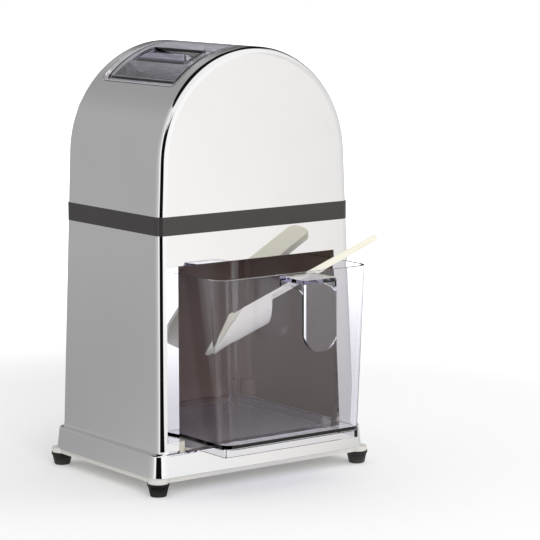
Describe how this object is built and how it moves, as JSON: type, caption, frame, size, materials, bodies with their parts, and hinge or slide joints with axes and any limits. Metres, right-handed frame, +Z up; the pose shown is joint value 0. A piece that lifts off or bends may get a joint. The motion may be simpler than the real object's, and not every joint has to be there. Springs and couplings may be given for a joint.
{
  "type": "hand crank ice crusher",
  "caption": "Hand cranked ice crusher: chromed arched housing, clear lid and ice drawer, toothed rotor and fixed comb inside, crank at the back.",
  "frame": {"origin": "on the table, in the plane of the feet, below the middle of the whole between drawer handle and crank knob", "axes": "+Z up, -Y towards the user on the drawer's side, +Y towards the crank, +X to the right when the drawer is seen from the front"},
  "size_m": [0.1606, 0.212, 0.26],
  "materials": {
    "chrome_plate": "mirror bright",
    "band_plastic": "satin",
    "pale_plastic": "satin",
    "cream_plastic": "moulded, slightly glossy",
    "black_rubber": "matt",
    "clear_plastic": "clear, polished mould",
    "blade_steel": "stamped and ground",
    "plain_steel": "turned",
    "bush_plastic": "turned",
    "knob_plastic": "satin"
  },
  "bodies": {
    "housing": {"upper_housing": "chrome_plate", "seam_band": "band_plastic", "lower_housing": "chrome_plate", "base_plinth": "chrome_plate", "bottom_plate": "pale_plastic", "drawer_tray": "cream_plastic", "crush_chamber": "cream_plastic", "hopper": "cream_plastic", "fixed_comb": "blade_steel", "comb_screws": "plain_steel", "front_bush": "bush_plastic", "rear_bush": "bush_plastic", "foot_screws": "plain_steel", "base_screws": "plain_steel", "housing_screws": "plain_steel", "foot_left_front": "black_rubber", "foot_left_back": "black_rubber", "foot_right_front": "black_rubber", "foot_right_back": "black_rubber"},
    "crank": {"drive_shaft": "plain_steel", "shaft_clip": "plain_steel", "crank_arm": "chrome_plate", "crank_nut": "chrome_plate", "knob_spindle": "plain_steel", "toothed_disc_1": "blade_steel", "toothed_disc_2": "blade_steel", "toothed_disc_3": "blade_steel", "toothed_disc_4": "blade_steel", "toothed_disc_5": "blade_steel", "disc_spacer_1": "plain_steel", "disc_spacer_2": "plain_steel", "disc_spacer_3": "plain_steel", "disc_spacer_4": "plain_steel", "disc_spacer_5": "plain_steel", "disc_spacer_6": "plain_steel"},
    "knob": {"crank_knob": "knob_plastic"},
    "lid": {"lid": "clear_plastic"},
    "drawer": {"drawer": "clear_plastic"},
    "scoop": {"scoop": "cream_plastic"}
  },
  "joints": [
    {"name": "crank_turn", "type": "hinge", "parent": "housing", "child": "crank", "pos_m": [0, 0.00945, 0.184], "axis": [0, -1, 0], "continuous": true},
    {"name": "knob_spin", "type": "hinge", "parent": "crank", "child": "knob", "pos_m": [0, 0.08945, 0.109], "axis": [0, 1, 0], "continuous": true},
    {"name": "lid_lift", "type": "slide", "parent": "housing", "child": "lid", "axis": [0, 0, 1], "range_m": [0, 0.07]},
    {"name": "drawer_slide", "type": "slide", "parent": "housing", "child": "drawer", "axis": [0, -1, 0], "range_m": [0, 0.1]},
    {"name": "scoop_lift", "type": "slide", "parent": "drawer", "child": "scoop", "axis": [0, 0, 1], "range_m": [0, 0.08]}
  ]
}
